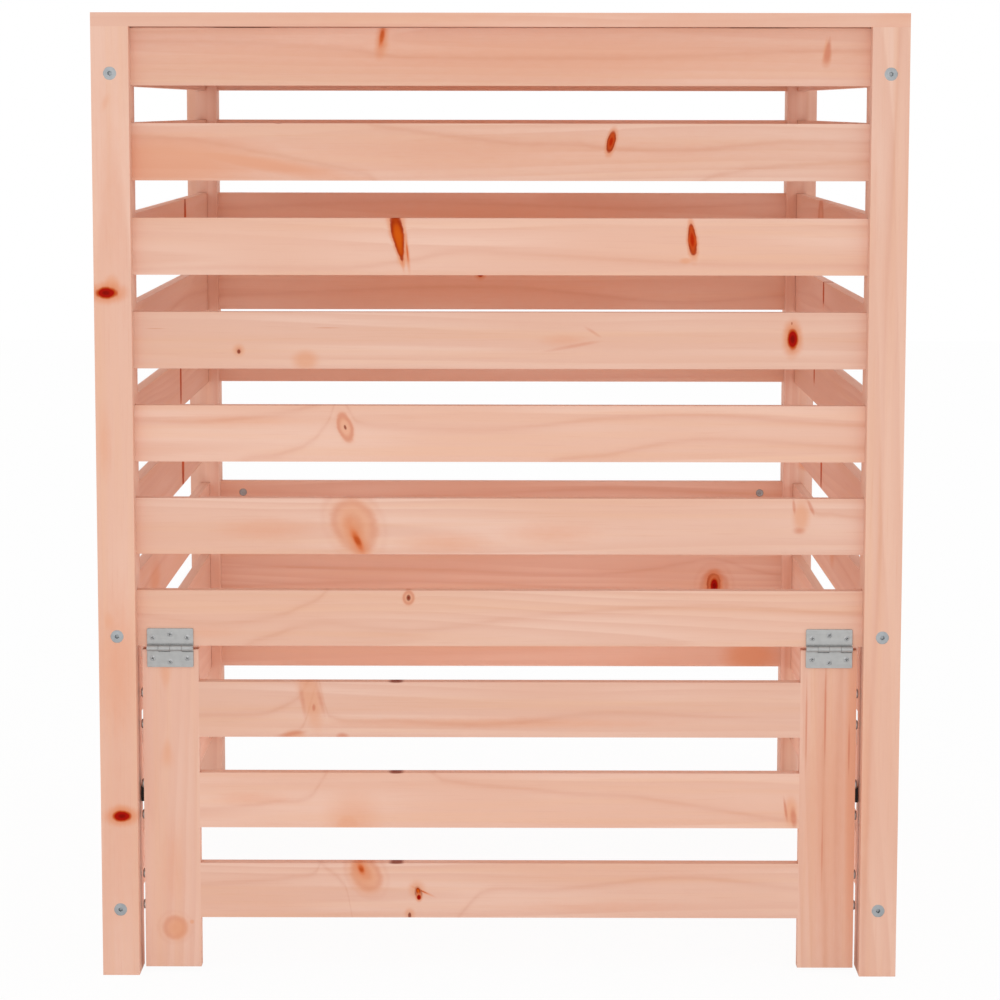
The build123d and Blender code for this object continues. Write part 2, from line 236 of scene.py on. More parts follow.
# marks in the order in which they are painted; the first kind holds real stains and also bands of painted
# shade
markLook = {
    "stain": [coat("blush", 1.0, 0.2, 0.75)],
    "whorl": [coat("halo", 1.15, 0.3, 0.45), coat("rim", 1.2, 0.7, 0.36, turns=(13.0, 7.0, 1.3))],
    "blush": [coat("halo", 1.1, 0.3, 0.6)],
    "scar": [coat("rim", 1.15, 0.3, 0.45, streaks=(0.3, 0.6, 0.3))],
    "eye": [coat("halo", 1.5, 0.6, 0.6), coat("rim", 1.2, 0.9, 0.55, hollow=(0.4, 0.85)),
            coat("pip", 0.22, 0.1, 0.8)],
    "ember": [coat("glow", 2.3, 0.8, 0.5), coat("ember", 1.15, 0.3, 0.85),
              coat("rust", 0.75, 0.2, 0.3, streaks=(0.35, 0.65, 0.5))],
    "pip": [coat("pip", 1.2, 0.6, 0.85)],
    "amber": resin("amber", "rust"),
    "flame": resin("garnet", "flame"),
    "red": [coat("glow", 2.7, 0.95, 0.75), coat("redRim", 1.35, 0.95), coat("red", 1.02, 0.8),
            coat("redHeart", 0.6, 0.3, 0.7)],
}
# how outlines fray, how narrow a tapered one gets and how fast one on a single face fades
outlineLook = {
    "raggedStreak": 0.3, "raggedWisp": 0.25, "calm": {"whorl": 0.35, "blush": 0.5},
    "leastTaper": 0.2, "fadeDepth": 0.02,
}


# distance from the nearest mark of a kind, 1 on its rim; sizes in millimetres
def markField(s, t, depth, marks):
    nearest = None
    for s0, t0, halfS, halfT, *more in marks:
        extra = more[0] if more else {}
        up = t - t0 * mm
        w = up / (halfT * mm)
        sideways = s - s0 * mm
        if "lean" in extra:
            sideways = sideways - up * extra["lean"]
        u = sideways / (halfS * mm)
        if "taper" in extra:
            u = u / (w * extra["taper"] + 1.0).most(outlineLook["leastTaper"])
        q = u * u + w * w
        if "ease" in extra:
            q = q + extra["ease"]
        if "at" in extra:
            off = (depth - extra["at"] * mm) / outlineLook["fadeDepth"]
            q = q + off * off
        nearest = q if nearest is None else nearest.least(q)
    return nearest.root()


# distance in metres from single grain lines, each drawn through (along, across) points in millimetres
def lineField(f, along, across, span, lines):
    nearest = None
    low, high = span
    reach = lineLook["rampReach"]
    t = (along - low * mm) / ((high - low) * mm)
    for points in lines:
        stops = [((a - low) / (high - low), c * mm / reach + 0.5) for a, c in points]
        curve = f.add("ShaderNodeValToRGB", {"stops": stops}, {0: t})
        off = abs(across - (curve - 0.5) * reach)
        nearest = off if nearest is None else nearest.least(off)
    return nearest


# a share that grows where the wood is streaky
def streaky(streak, low, high, extra, share):
    return streak.rise(low, high) * extra + share


def paintLines(f, colour, off, streak):
    p = lineLook
    fine = off.rise(p["width"], 0.0) * streaky(streak, *p["streaks"], p["share"])
    colour = f.blend(fine, colour, woodLook["line"])
    return f.blend(off.rise(p["wide"], 0.0) * p["wideShare"], colour, woodLook["line"])


def paintMark(f, colour, d, coats, streak, sway, wisp):
    for p in coats:
        share = streaky(streak, *p["streaks"], p["share"]) if "streaks" in p else p["share"]
        factor = d.rise(*p["range"]) * share
        if "hollow" in p:
            factor = factor * d.rise(*p["hollow"])
        if "turns" in p:
            tight, swayed, wisped = p["turns"]
            factor = factor * ((d * tight + sway * swayed + wisp * wisped).sine() * 0.5 + 0.5)
        paint = woodLook[p["colour"]]
        if "edge" in p:
            edge, start, full, most = p["edge"]
            paint = f.blend(d.rise(start, full) * most, paint, woodLook[edge])
        colour = f.blend(factor, colour, paint)
    return colour


def makeWood(name, grain, plane, layout, seed, marks, lines=(), span=(-420, 420)):
    look, ringed, ragged = woodLook, ringLook, outlineLook
    f = Graph(bpy.data.materials.new(name))
    spot = f.parts(f.place())
    along, across, deep, number = layout(*spot)
    a, b, c = f.dice(number + seed)

    def grainNoise(kind, *draws):
        p = noiseLook[kind]
        place = [v * scale + draw * shift if shift else v * scale for v, scale, draw, shift
                 in zip((along, across, deep), p["scale"], draws, p["shift"])]
        return f.noise(f.join(*place), 1.0, p["detail"], p["roughness"])

    sway = grainNoise("sway", a, a, b) - 0.5
    patch = grainNoise("patch", b, c, c)
    streak = grainNoise("streak", c, a, a)
    fibre = grainNoise("fibre", a, a, a)
    wisp = grainNoise("wisp", b, b, b) - 0.5

    s, t, depth = (spot[i] for i in plane)
    fuzz = (streak - 0.5) * ragged["raggedStreak"] + wisp * ragged["raggedWisp"]
    near = {kind: markField(s, t, depth, some) * (fuzz * ragged["calm"].get(kind, 1.0) + 1.0)
            for kind, some in marks.items()}

    heartAcross = (across + (a - 0.5) * ringed["offAcross"] + along * ((b - 0.5) * ringed["leanAcross"])
                   + sway * ringed["wander"])
    heartDeep = deep + (c * ringed["moreDeep"] + ringed["offDeep"]) + along * ((a - 0.5) * ringed["leanDeep"])
    ring = (heartAcross * heartAcross + heartDeep * heartDeep).root() + sway * ringed["ripple"]
    for kind in ringed["bentBy"]:
        if kind in near:
            ring = ring + near[kind].rise(*ringed["bendRange"]) * ringed["bend"]
    phase = (ring / ringed["width"]).fract()
    late = phase.rise(*ringed["lateRange"]) * phase.rise(*ringed["edgeRange"])
    endFace = abs(f.facing()[grain]).rise(*look["endRange"])
    ringShare = patch.rise(*ringed["calmRange"]) * ringed["calmShare"] + ringed["leastShare"] + endFace

    colour = f.blend(patch.rise(*look["rosyRange"]), look["pale"], look["rosy"])
    warmth = streak.rise(*look["warmRange"]) * look["warmShare"] + a * look["warmBoard"]
    colour = f.blend(warmth, colour, look["warm"])
    colour = f.blend(endFace * look["endShare"], colour, look["endWood"])
    colour = f.blend(late * ringShare * ringed["share"], colour, look["lateWood"])
    colour = f.blend(fibre.rise(*look["fibreRange"]) * look["fibreShare"], colour, look["lateWood"])
    for kind, coats in markLook.items():
        if kind in near:
            colour = paintMark(f, colour, near[kind], coats, streak, sway, wisp)
        if kind == "stain" and lines:  # lines lie over stains and painted shade and under all other marks
            sideways = t if grain == plane[0] else s
            off = lineField(f, along, sideways, span, lines) + wisp * lineLook["wander"]
            colour = paintLines(f, colour, off, streak)
    shade = 1.0 + (c - 0.5) * look["shadeBoard"] + sway * look["shadeSway"]
    colour = f.blend(1.0, colour, f.join(shade, shade, shade), "MULTIPLY")
    rough = look["rough"] + (fibre - 0.5) * look["roughFibre"] - late * look["roughRing"]
    return f.surface(Base_Color=colour, Roughness=rough, Specular_IOR_Level=look["gloss"],
                     Normal=f.bump(fibre, *look["bump"]))


# where each kind of board lies, so that every board gets its own number and its own cut
frameLook = {
    "panel": 0.3935, "rowStart": 0.058, "rowPitch": 0.096, "slatWidth": 0.058, "halfGap": 0.019,
    "stileX": 0.3405, "lidFront": -0.4125, "boardPitch": 0.1035, "boardDepth": 0.1005, "halfBoardGap": 0.0015,
    "lidMiddle": 0.988, "battenX": 0.2625, "battenMiddle": 0.975,
}
firstNumber = {"back": 20, "left": 40, "right": 60, "stile": 80, "post": 90, "lid": 100, "batten": 120}


def rowsOf(z):
    p = frameLook
    row = ((z - p["rowStart"] + p["halfGap"]) / p["rowPitch"]).floor()
    return row, z - (row * p["rowPitch"] + p["rowStart"] + p["slatWidth"] / 2)


def frontBoards(x, y, z):
    row, across = rowsOf(z)
    return x, across, y + frameLook["panel"], row


def backBoards(x, y, z):
    row, across = rowsOf(z)
    return x, across, y - frameLook["panel"], row + firstNumber["back"]


def sideBoards(x, y, z):
    row, across = rowsOf(z)
    number = row + (x > 0.0) * (firstNumber["right"] - firstNumber["left"]) + firstNumber["left"]
    return y, across, abs(x) - frameLook["panel"], number


def postBoards(x, y, z):
    number = (x > 0.0) + (y > 0.0) * 2 + firstNumber["post"]
    return z, abs(x) - frameLook["panel"], abs(y) - frameLook["panel"], number


def stileBoards(x, y, z):
    return z, abs(x) - frameLook["stileX"], y + frameLook["panel"], (x > 0.0) + firstNumber["stile"]


def lidBoards(x, y, z):
    p = frameLook
    board = ((y - p["lidFront"] + p["halfBoardGap"]) / p["boardPitch"]).floor()
    across = y - (board * p["boardPitch"] + p["lidFront"] + p["boardDepth"] / 2)
    return x, across, z - p["lidMiddle"], board + firstNumber["lid"]


def battenBoards(x, y, z):
    p = frameLook
    return y, abs(x) - p["battenX"], z - p["battenMiddle"], (x > 0.0) + firstNumber["batten"]


# marks as (place, place, half size, half size) and grain lines as (along, across), in millimetres
frontMarks = {
    "red": [(299, 665, 5, 9)],
    "pip": [(-267, 651.5, 1.9, 2.5), (-225, 884.8, 5.5, 1.2), (-94, 396.5, 2.4, 3.6), (298, 681, 0.8, 1.6)],
    "amber": [(-103.5, 768, 5.6, 23, {"lean": -0.16, "taper": 0.5})],
    "flame": [(112.5, 865.6, 4.2, 10.5, {"lean": 0.2}),
              (195.6, 766.5, 4.1, 15.5, {"lean": -0.09, "taper": -0.15})],
    "ember": [(-119.5, 972, 3.8, 13, {"lean": 0.14}), (-146.5, 456, 6, 15, {"lean": -0.42}),
              (-94.5, 754, 1.3, 13, {"lean": -0.1})],
    "scar": [(302.5, 492, 2, 9, {"lean": -0.1}), (320, 491, 2.4, 9, {"lean": -0.4}),
             (308, 467, 9, 5, {"ease": 0.3}), (75, 657.5, 16, 8, {"lean": 4.6, "ease": 0.45}),
             (95, 672, 5, 8, {"lean": -1.4, "ease": 0.45}), (-121, 968, 1.2, 9, {"lean": 0.2}),
             (-176, 676, 20, 0.9, {"ease": 0.4}), (-352, 675, 14, 0.9, {"ease": 0.4}),
             (-267, 652.5, 4, 4.5, {"ease": 0.2}), (331, 956, 4.4, 17, {"taper": -0.6, "lean": 0.13})],
    "eye": [(-158.6, 573.6, 7.5, 14, {"lean": -0.23}), (-94, 396.5, 6, 7.5)],
    "blush": [(330, 956, 5, 17, {"taper": -0.6}), (-199, 643, 17, 13), (189, 745, 8, 4), (-99, 748, 8, 12),
              (-118, 962, 9, 18, {"ease": 0.3}), (310, 482, 11, 21), (299, 668, 11, 17, {"ease": 0.15}),
              (-267, 653, 8, 8), (-149, 470, 30, 40, {"ease": 0.2})],
    "whorl": [(-150, 474, 31, 40, {"lean": -0.2})],
    # the two full-width bands make the top two rows darker as a whole; the smaller patches are stains
    "stain": [(-345, 846, 170, 44), (-262, 846, 76, 28, {"lean": -5.15}), (66, 664, 44, 12, {"ease": 0.35}),
              (0, 951, 700, 50, {"ease": 0.25}), (20, 855, 520, 44, {"ease": 0.38}),
              (-55, 454, 85, 18, {"ease": 0.3}), (55, 464, 90, 22, {"ease": 0.35}),
              (-270, 580, 130, 10, {"ease": 0.45}), (-300, 360, 70, 13, {"ease": 0.5}),
              (-240, 468, 90, 20, {"ease": 0.35})],
}
frontLines = [
    [(-372, 966), (-240, 964), (-140, 957), (-100, 950), (83, 950), (194, 952), (305, 957)],
    [(-374, 871), (-297, 865.5), (-255, 857), (-213, 849), (-158, 838), (-130, 829), (-110, 810)],
    [(-150, 890), (-130, 882), (0, 865.5), (83, 863), (107, 859), (194, 857), (278, 865), (372, 865)],
    [(180, 815), (211, 829), (250, 838), (372, 846)],
    [(-372, 735.5), (-280, 737.5), (-152, 737.5), (-80, 747), (-47, 754), (0, 753), (190, 742), (372, 740)],
    [(-372, 580.5), (-310, 579), (-263, 583), (-224, 587.5), (-202, 593), (-180, 600), (-150, 610)],
    [(-290, 525), (-263, 539), (-224, 546), (-199, 555.5), (-185, 567), (-173, 586), (-165, 610)],
    [(-165, 610), (-149, 581), (-102, 573.6), (0, 572), (83, 580.5), (153, 585.5), (222, 586), (278, 582),
     (372, 576)],
    [(30, 525), (55, 539), (119, 547), (172, 558), (236, 561), (372, 553)],
    [(306, 515), (322, 488), (344, 484), (372, 480)],
    [(-374, 378.6), (-310, 370), (-255, 372), (-213, 383), (-185, 397), (-165, 415)],
    [(-285, 330), (-260, 347), (-224, 360.6), (-188, 369.4), (-144, 366), (-74, 363), (0, 374), (194, 388),
     (372, 380)],
]
doorMarks = {
    "pip": [(-93.6, 60.4, 1.8, 3.2), (-107.3, 308.8, 9, 1.6), (-107.3, 212.8, 9, 1.6),
            (-107.3, 116.8, 9, 1.6), (-84.4, 84.5, 4, 6.8, {"lean": -0.15})],
    "amber": [(-84.6, 86.2, 2.1, 3.6, {"lean": -0.15})],
    "red": [(-83.9, 79.6, 1.9, 2.5)],
    "ember": [(-144, 110, 5, 7.5, {"lean": -0.25}), (-80, 86, 2, 3.4, {"lean": -2.0})],
    "scar": [(297.5, 174, 1.8, 15, {"lean": -0.15}), (306, 165, 4, 13, {"lean": -0.1}),
             (-204, 288, 4, 26, {"lean": -0.15, "ease": 0.45}),
             (-185, 288, 4, 24, {"lean": -0.25, "ease": 0.45}),
             (-216, 253, 14, 5, {"lean": 3, "ease": 0.2}), (-163, 250.5, 8, 5), (-192.4, 281, 2.2, 4.6)],
    "blush": [(303, 172, 9, 20), (-196, 294, 15, 44, {"lean": -0.18, "taper": 0.2}), (-157, 156, 20, 20),
              (-93.6, 62, 7, 8), (-86, 88, 11, 12), (-213, 252, 14, 7), (-152, 160, 42, 46, {"ease": 0.3}),
              (-141, 103, 20, 25, {"lean": -0.2})],
    "whorl": [(-139, 106, 22, 27, {"lean": -0.25})],
    "stain": [(0, 265, 300, 10, {"ease": 0.3}), (-260, 185, 70, 14, {"ease": 0.4}),
              (100, 70, 180, 12, {"ease": 0.5})],
}
doorLines = [
    [(-309, 273), (-238, 276), (-206, 293), (-196, 312)],
    [(-240, 240), (-221, 251), (-201, 267), (-186, 318)],
    [(-190, 320), (-178, 273), (-100, 267), (0, 264), (114, 276), (286, 267)],
    [(-320, 172), (-240, 180), (-195, 188), (-170, 225)],
    [(-90, 225), (-60, 205), (60, 192), (160, 184), (320, 160)],
    [(-200, 130), (-186, 116), (-166, 98.6), (-158, 84), (-150, 40)],
    [(-310, 93), (-220, 100), (-190, 108), (-176, 140)],
    [(-60, 40), (-20, 84), (60, 88), (190, 101), (310, 90)],
]
backMarks = {
    "red": [(-28, 683, 4, 5), (285, 264, 5, 9), (-170, 462, 3, 5)],
    "amber": [(284, 266, 9, 14), (70, 858, 5, 12)],
    "blush": [(334, 168, 46, 26), (-110, 372, 20, 14)],
    "whorl": [(285, 264, 26, 30)],
    # the four full-width bands on the upper rows are painted shade under the closed lid, strongest at the
    # top; the last one is a stain
    "stain": [(0, 950, 460, 44, {"ease": 0.1}), (0, 855, 460, 44, {"ease": 0.1}),
              (0, 760, 460, 44, {"ease": 0.2}), (0, 663, 460, 44, {"ease": 0.3}), (334, 168, 46, 26)],
}
backLines = [
    [(-360, 288), (-60, 284), (120, 278), (215, 288), (255, 296), (285, 300), (320, 290), (372, 278)],
    [(-372, 262), (-160, 268), (20, 264), (180, 256), (230, 244)],
    [(-372, 390), (-100, 384), (140, 394), (372, 386)],
    [(-372, 768), (-120, 776), (180, 768), (372, 775)],
    [(-372, 652), (0, 664), (220, 644), (372, 652)],
]
left, right = {"at": -393.5}, {"at": 393.5}
sideMarks = {
    "amber": [(141, 766, 9, 26, left), (82, 570, 7, 27, left), (95, 468, 10, 30, left),
              (72, 680, 6, 15, right), (72, 470, 7, 27, right), (156, 574, 5, 12, right),
              (-210, 855, 5, 15, right)],
    "red": [(-120, 950, 6, 10, left), (-60, 275, 6, 9, right), (230, 180, 5, 8, left)],
    "eye": [(108, 764, 27, 30, right), (-290, 470, 9, 15, left)],
    "blush": [(-165, 372, 60, 26, left), (-40, 380, 30, 20, right)],
    # both full-width bands, on the second and third rows from the top, are painted shade under the closed lid
    "stain": [(0, 855, 460, 44, {"ease": 0.3}), (0, 760, 460, 44, {"ease": 0.3})],
}
sideLines = [
    [(-372, 960), (-100, 952), (160, 962), (372, 950)],
    [(-372, 850), (-60, 860), (200, 848), (372, 856)],
    [(-372, 668), (-140, 656), (120, 668), (372, 660)],
    [(-372, 372), (-80, 384), (180, 370), (372, 380)],
    [(-372, 88), (-60, 80), (220, 92), (372, 84)],
]
front = {"at": -408}
postMarks = {
    "red": [(-400, 712.3, 9.5, 5.4, front), (-390.6, 169.2, 9, 5.2, front), (404, 430, 6, 5, {"at": 396})],
    "blush": [(-394, 722, 10, 11, front), (-391, 174, 12, 10, front),
              (-402, 374, 8, 16, {**front, "ease": 0.4}),
              (-398, 905, 6, 14, {**front, "ease": 0.4, "lean": 0.3})],
    "stain": [(-393, 330, 40, 130, {**front, "ease": 0.2}), (-393, 830, 60, 280, {**front, "ease": 0.52}),
              (-393, 130, 60, 220, {**front, "ease": 0.5}), (-404, 560, 12, 70, {**front, "ease": 0.3}),
              (378, 190, 9, 210, {**front, "ease": 0.3}), (378, 800, 8, 160, {**front, "ease": 0.5})],
}
postLines = [
    [(60, 379), (330, 385), (470, 390), (720, 392), (980, 402)],
]
stileMarks = {
    "whorl": [(-339, 47, 19, 18, {"ease": 0.1})],
    "blush": [(-321, 53, 3, 3), (-345, 233, 9, 24, {"taper": -0.7, "ease": 0.3}),
              (-346, 316, 9, 24, {"taper": 0.7, "ease": 0.3}), (-336, 46, 14, 16)],
    "scar": [(337.5, 275, 1.3, 66), (318, 265, 1.2, 56), (362.5, 240, 1.2, 34),
             (336, 130, 1.1, 50, {"ease": 0.2})],
    "stain": [(340, 180, 60, 300, {"ease": 0.3}), (366, 190, 13, 300), (-340, 110, 26, 90, {"ease": 0.4})],
}
stileLines = [
    [(10, 341), (120, 338), (200, 336.5), (300, 337), (340, 338)],
    [(10, 353), (160, 350), (340, 354)],
]
lidMarks = {
    "red": [(-210, -152, 8, 6), (170, 72, 7, 5), (30, 366, 6, 5), (310, 160, 3, 3), (-330, 60, 4, 3)],
    "amber": [(290, -275, 6, 14, {"lean": 0.2}), (-70, 190, 5, 13), (-250, 275, 5, 14), (90, -60, 4, 11)],
    "eye": [(-320, -255, 12, 16), (210, 270, 11, 15), (-120, 10, 9, 13)],
    "blush": [(96, -362, 18, 14), (-300, 362, 22, 14)],
    "whorl": [(-150, -362, 30, 30), (250, -50, 34, 30)],
    # the thin band along the front edge at -414 is painted shade that darkens the brightly lit front edge;
    # the others are stains
    "stain": [(400, -370, 60, 60), (0, -414, 600, 12, {"ease": 0.42}), (0, -156, 460, 60, {"ease": 0.3}),
              (0, 155, 460, 60, {"ease": 0.35})],
}
lidLines = [
    [(-410, -385), (-180, -375), (60, -390), (300, -380), (410, -384)],
    [(-410, -270), (-60, -258), (240, -272), (410, -260)],
    [(-410, -140), (-120, -158), (200, -140), (410, -150)],
    [(-410, -40), (-40, -52), (260, -44), (410, -60)],
    [(-410, 60), (0, 48), (240, 62), (410, 50)],
    [(-410, 150), (-120, 164), (200, 148), (410, 160)],
    [(-410, 262), (-60, 250), (240, 262), (410, 254)],
    [(-410, 350), (0, 366), (240, 352), (410, 362)],
]
battenMarks = {"eye": [(-262, 90, 6, 9), (262, -140, 6, 9)]}
# the grain's axis, then the two axes that marks lie on and the one that they face
alongX, alongY, alongZ = 0, 1, 2
faceY, faceX, faceZ = (0, 2, 1), (1, 2, 0), (0, 1, 2)
postSpan, stileSpan = (0, 1000), (0, 400)
woods = {
    "front_wood": makeWood("front softwood", alongX, faceY, frontBoards, 3.0, frontMarks, frontLines),
    "door_wood": makeWood("door softwood", alongX, faceY, frontBoards, 7.0, doorMarks, doorLines),
    "back_wood": makeWood("back softwood", alongX, faceY, backBoards, 11.0, backMarks, backLines),
    "side_wood": makeWood("side softwood", alongY, faceX, sideBoards, 5.0, sideMarks, sideLines),
    "post_wood": makeWood("post softwood", alongZ, faceY, postBoards, 17.0, postMarks, postLines, postSpan),
    "stile_wood": makeWood("stile softwood", alongZ, faceY, stileBoards, 23.0, stileMarks, stileLines,
                           stileSpan),
    "lid_wood": makeWood("lid softwood", alongX, faceZ, lidBoards, 29.0, lidMarks, lidLines),
    "batten_wood": makeWood("batten softwood", alongY, faceZ, battenBoards, 31.0, battenMarks),
}
print("wood finishes:", len(woods))


# zinc-plated and galvanised steel with rubbed streaks and dull spots
steelLook = {
    "cloud": 160.0, "cloudRange": (0.35, 0.7), "cloudShare": 0.5, "rubRange": (0.5, 0.8), "rubShare": 0.2,
    "metal": 0.9, "roughRub": 0.16, "roughCloud": 0.06, "bump": (0.1, 0.0002),
}


def makeSteel(name, base, shadow, rough, rubbed):
    p = steelLook
    f = Graph(bpy.data.materials.new(name))
    place = f.place()
    cloud = f.noise(place, p["cloud"])
    rub = f.noise(f.scaled(place, rubbed))
    dull = cloud.rise(*p["cloudRange"]) * p["cloudShare"] + rub.rise(*p["rubRange"]) * p["rubShare"]
    uneven = rough + (rub - 0.5) * p["roughRub"] + cloud * p["roughCloud"]
    return f.surface(Base_Color=f.blend(dull, base, shadow), Metallic=p["metal"], Roughness=uneven,
                     Normal=f.bump(rub, *p["bump"]))


# moulded plastic with a fine texture, rubbed paler in places
plasticLook = {
    "pebble": 2400.0, "patch": 90.0, "wornRange": (0.5, 0.75), "wornShare": 0.5,
    "rough": 0.46, "roughWorn": 0.12, "bump": (0.25, 0.0002),
}


def makePlastic(name, base, worn):
    p = plasticLook
    f = Graph(bpy.data.materials.new(name))
    place = f.place()
    pebble = f.noise(place, p["pebble"])
    rubbed = f.noise(place, p["patch"])
    colour = f.blend(rubbed.rise(*p["wornRange"]) * p["wornShare"], base, worn)
    return f.surface(Base_Color=colour, Roughness=p["rough"] + rubbed * p["roughWorn"],
                     Normal=f.bump(pebble, *p["bump"]))


boltLike, screwLike, hingeLike = (300.0, 300.0, 300.0), (400.0, 400.0, 400.0), (40.0, 700.0, 700.0)
hardware = {
    "bolt_steel": makeSteel("zinc bolt steel", base=tint(168, 171, 173), shadow=tint(150, 156, 160),
                            rough=0.44, rubbed=boltLike),
    "hinge_steel": makeSteel("galvanised hinge steel", base=tint(178, 178, 177), shadow=tint(168, 168, 167),
                             rough=0.48, rubbed=hingeLike),
    "screw_steel": makeSteel("zinc screw steel", base=tint(176, 176, 176), shadow=tint(150, 151, 152),
                             rough=0.4, rubbed=screwLike),
    "catch_plastic": makePlastic("black catch plastic", base=tint(22, 22, 23), worn=tint(46, 46, 48)),
    "magnet": makeSteel("magnet", base=tint(70, 70, 72), shadow=tint(44, 44, 46), rough=0.5, rubbed=boltLike),
}
finishes = {**woods, **hardware}

for row in frame["record"]["subparts"]:
    piece = nodes[row["node"]]
    piece.data.materials.clear()
    piece.data.materials.append(finishes[row["material_slot"]])
print("finishes on", len(nodes), "nodes")

mergeReach = 1e-7


# a finished piece on its body; it stands for the nodes that are named last
def newPiece(name, mesh, body, slot, *replaced):
    bmesh.ops.remove_doubles(mesh, verts=mesh.verts, dist=mergeReach)
    bmesh.ops.recalc_face_normals(mesh, faces=mesh.faces)
    data = bpy.data.meshes.new(name)
    mesh.to_mesh(data)
    mesh.free()
    piece = bpy.data.objects.new(name, data)
    bpy.context.scene.collection.objects.link(piece)
    data.materials.append(finishes[slot])
    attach(piece, body)
    if replaced:
        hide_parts(*replaced)


def copies(source, matrices):
    data = bpy.data.meshes.new("copies")
    source.to_mesh(data)
    source.free()
    target = bmesh.new()
    for matrix in matrices:
        start = len(target.verts)
        target.from_mesh(data)
        target.verts.ensure_lookup_table()
        bmesh.ops.transform(target, matrix=matrix, verts=target.verts[start:])
    bpy.data.meshes.remove(data)
    return target


# a matrix whose z points outwards and whose x points along side
def seat(at, outward, side):
    zAxis, xAxis = Vector(outward), Vector(side)
    return Matrix.Translation(at) @ Matrix((xAxis, zAxis.cross(xAxis), zAxis)).transposed().to_4x4()


# a seat on the right and its mirror image on the left
def bothSides(at, outward, side):
    (x, y, z), (outX, outY, outZ) = at, outward
    return [seat((e * x, y, z), (e * outX, outY, outZ), side) for e in (-1, 1)]


def rounded(mesh, geom, offset, affect="EDGES", segments=2):
    bmesh.ops.bevel(mesh, geom=geom, offset=offset, affect=affect, segments=segments, profile=0.5,
                    material=-1)


def only(kind, geom):
    return [g for g in geom if isinstance(g, kind)]


# what all bolts, nuts and screws share
fastenerLook = {
    "sides": 24, "recessInset": 0.3, "recessTaper": 0.8, "crossArm": 0.42, "crossWaist": 0.66,
    "headEdge": 0.0003, "tipStart": 0.92, "tipShare": 0.5,
}


# outline of a recess: six flats for a key, or a cross
def recessReach(angle, look):
    if look["recess"] == "key":
        return look["recessSize"] / math.cos((angle + math.pi / 6) % (math.pi / 3) - math.pi / 6)
    inArm = abs((angle + math.pi / 4) % (math.pi / 2) - math.pi / 4) < fastenerLook["crossArm"]
    return look["recessSize"] * (1.0 if inArm else fastenerLook["crossWaist"])


# draws a rim of edges through rings of (radius, height), or (radius, height, 6) for a hexagon
def drawn(mesh, rim, rings):
    for radius, height, *sides in rings:
        grown = bmesh.ops.extrude_edge_only(mesh, edges=rim)["geom"]
        rim = only(bmesh.types.BMEdge, grown)
        for v in only(bmesh.types.BMVert, grown):
            turn = math.atan2(v.co.y, v.co.x) % (math.pi / 3) - math.pi / 6
            v.co.xy = v.co.xy.normalized() * (radius / math.cos(turn) if sides else radius)
            v.co.z = height
    return rim


# a fastener along -z: its recess, then rings down to the tip
def makeFastener(look):
    p = fastenerLook
    mesh = bmesh.new()
    (radius, height), *rings = look["rings"]
    bmesh.ops.create_circle(mesh, cap_ends=True, segments=p["sides"], radius=radius)
    bmesh.ops.translate(mesh, vec=(0, 0, height), verts=mesh.verts)
    top = mesh.faces[:][0]
    rim = top.edges[:]
    if "recess" in look:
        bmesh.ops.inset_region(mesh, faces=[top], thickness=radius * p["recessInset"])
        for v in top.verts:
            reach = recessReach(math.atan2(v.co.y, v.co.x), look)
            v.co.xy = v.co.xy.normalized() * reach
        sunk = bmesh.ops.extrude_face_region(mesh, geom=[top])["geom"]
        floor = only(bmesh.types.BMVert, sunk)
        bmesh.ops.translate(mesh, vec=(0, 0, -look["recessDepth"]), verts=floor)
        bmesh.ops.scale(mesh, vec=(p["recessTaper"], p["recessTaper"], 1), verts=floor)
        bmesh.ops.delete(mesh, geom=[top], context="FACES_ONLY")
    bmesh.ops.contextual_create(mesh, geom=drawn(mesh, rim, rings))
    return mesh


# a thin ring of wood that rounds off a six-sided hole
def makeCollar(look):
    mesh = bmesh.new()
    inner, outer, depth = look["collar"]
    bmesh.ops.create_circle(mesh, segments=fastenerLook["sides"], radius=inner)
    sides = [(outer, 0, 6), (outer - look["taper"] * depth, -depth, 6), (inner, -depth), (inner, 0)]
    drawn(mesh, mesh.edges[:], sides)
    return mesh


def countersunk(head, shank, length):
    p = fastenerLook
    edge = p["headEdge"]
    return [(head - edge, 0), (head, -edge), (shank, shank - head), (shank, -p["tipStart"] * length),
            (shank * p["tipShare"], -length)]


# rails from the top down; the door takes the place of the lowest one in front
boltLook = {
    "rings": countersunk(0.0067, 0.003, 0.072), "recess": "key", "recessSize": 0.0021, "recessDepth": 0.0028,
    "post": 0.3935, "face": 0.4125, "rails": (0.922, 0.346, 0.058), "sideRise": 0.012, "frontRise": 0.043,
    "collar": (0.00672, 0.00679, 0.00004), "taper": 1,
}
nutLook = {
    "rings": [(0.0016, -0.0018), (0.0019, -0.0006), (0.0045, -0.0005), (0.005, -0.001), (0.005, -0.0105)],
    "inner": 0.3875, "reach": 0.3445, "collar": (0.00503, 0.00509, 0.0003), "taper": 0,
}


